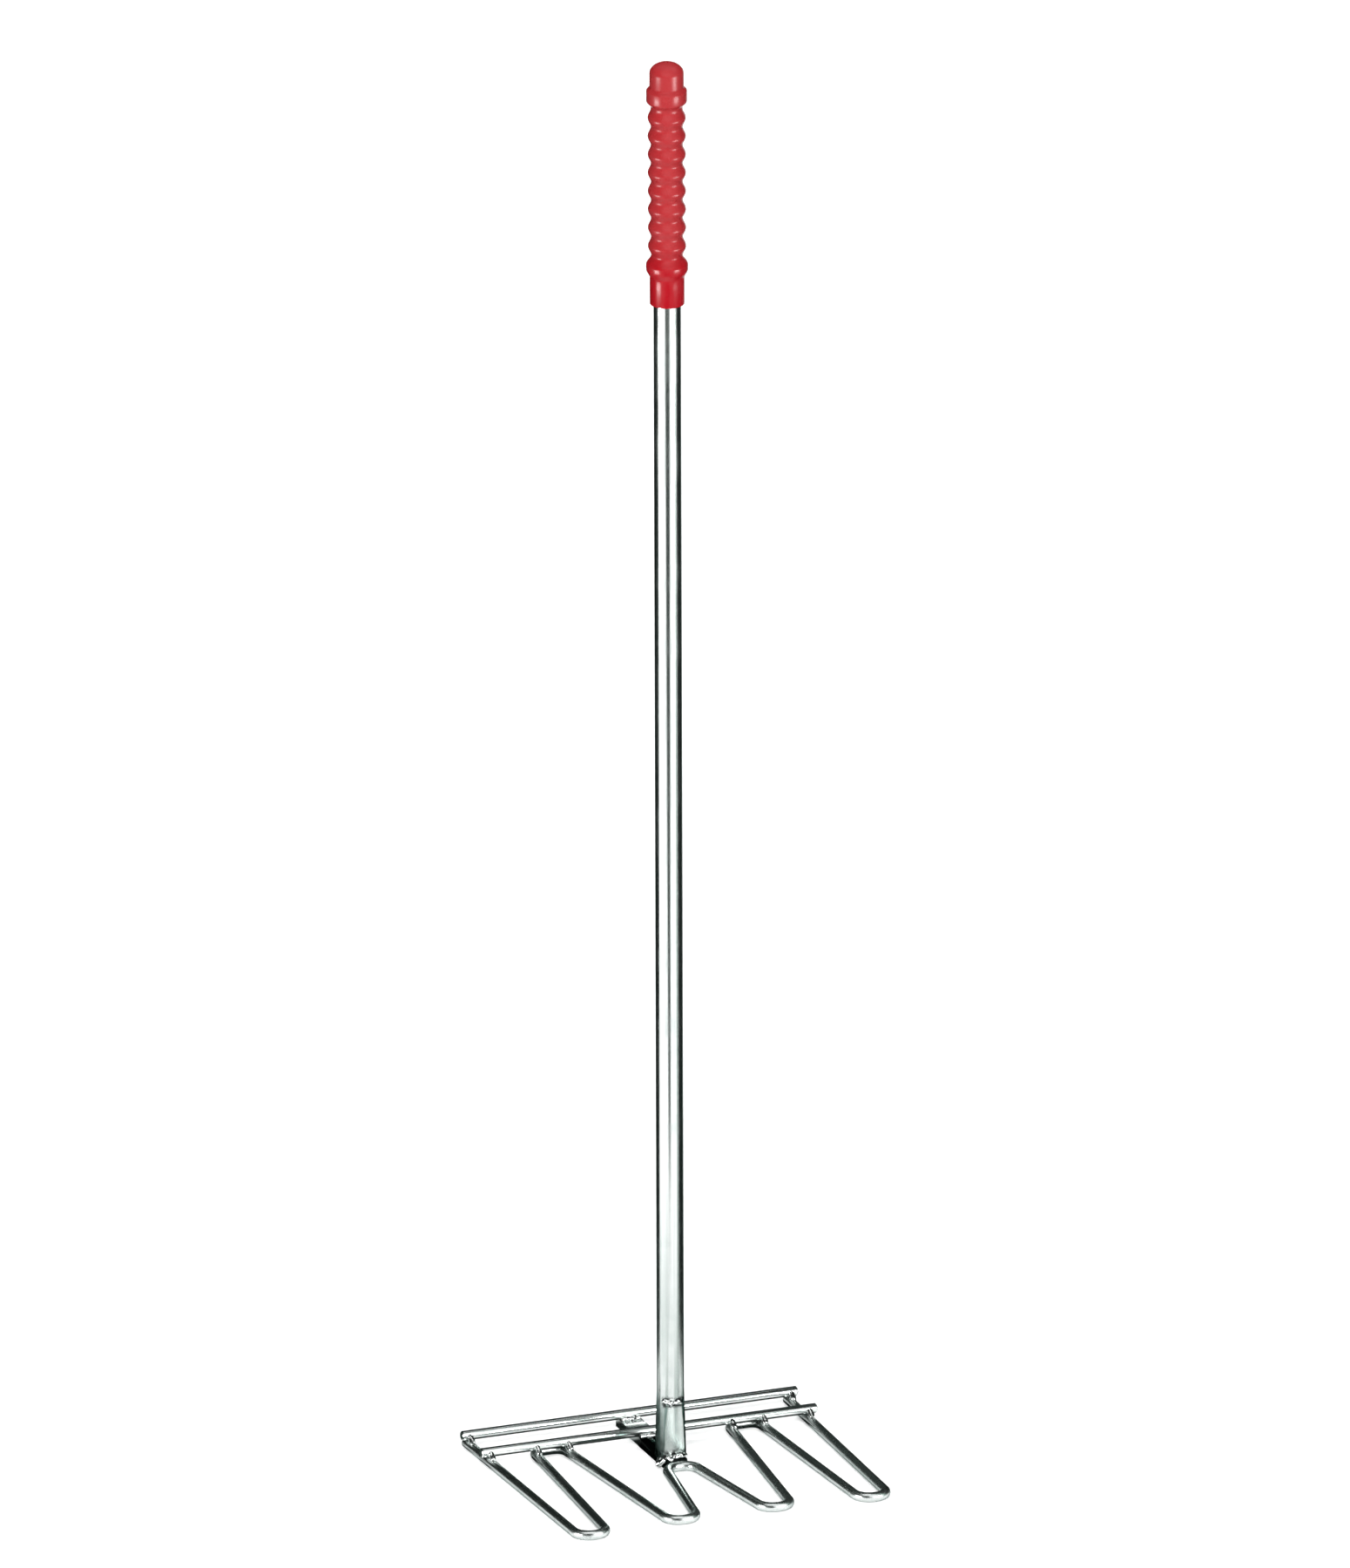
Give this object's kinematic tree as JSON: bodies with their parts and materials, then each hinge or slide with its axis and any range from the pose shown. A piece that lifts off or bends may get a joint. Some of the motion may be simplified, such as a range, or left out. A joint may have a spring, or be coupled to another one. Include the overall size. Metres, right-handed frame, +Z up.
{
  "type": "loop-tine hand fork",
  "caption": "Long-handled welded steel fork with looped rod tines at a right angle to a tube handle and a ribbed red push-on grip.",
  "frame": {"origin": "on the ground under the axis of the handle tube, on the underside of the strap", "axes": "+Z up along the handle tube, +X along the two cross bars, the tines point along -Y"},
  "size_m": [0.287, 0.2435, 1.19],
  "materials": {
    "zinc_plate": "bright zinc-plated steel, smooth",
    "weld_bead": "zinc-plated weld bead, uneven",
    "red_grip": "soft red PVC, semi-gloss"
  },
  "bodies": {
    "root": {"handle_tube": "zinc_plate", "tine_rod": "zinc_plate", "front_bar": "zinc_plate", "rear_bar": "zinc_plate", "spine_strap": "zinc_plate", "front_bar_welds": "weld_bead", "rear_bar_welds": "weld_bead", "strap_welds": "weld_bead", "foot_weld": "weld_bead", "flat_weld": "weld_bead", "hand_grip": "red_grip"}
  },
  "joints": []
}
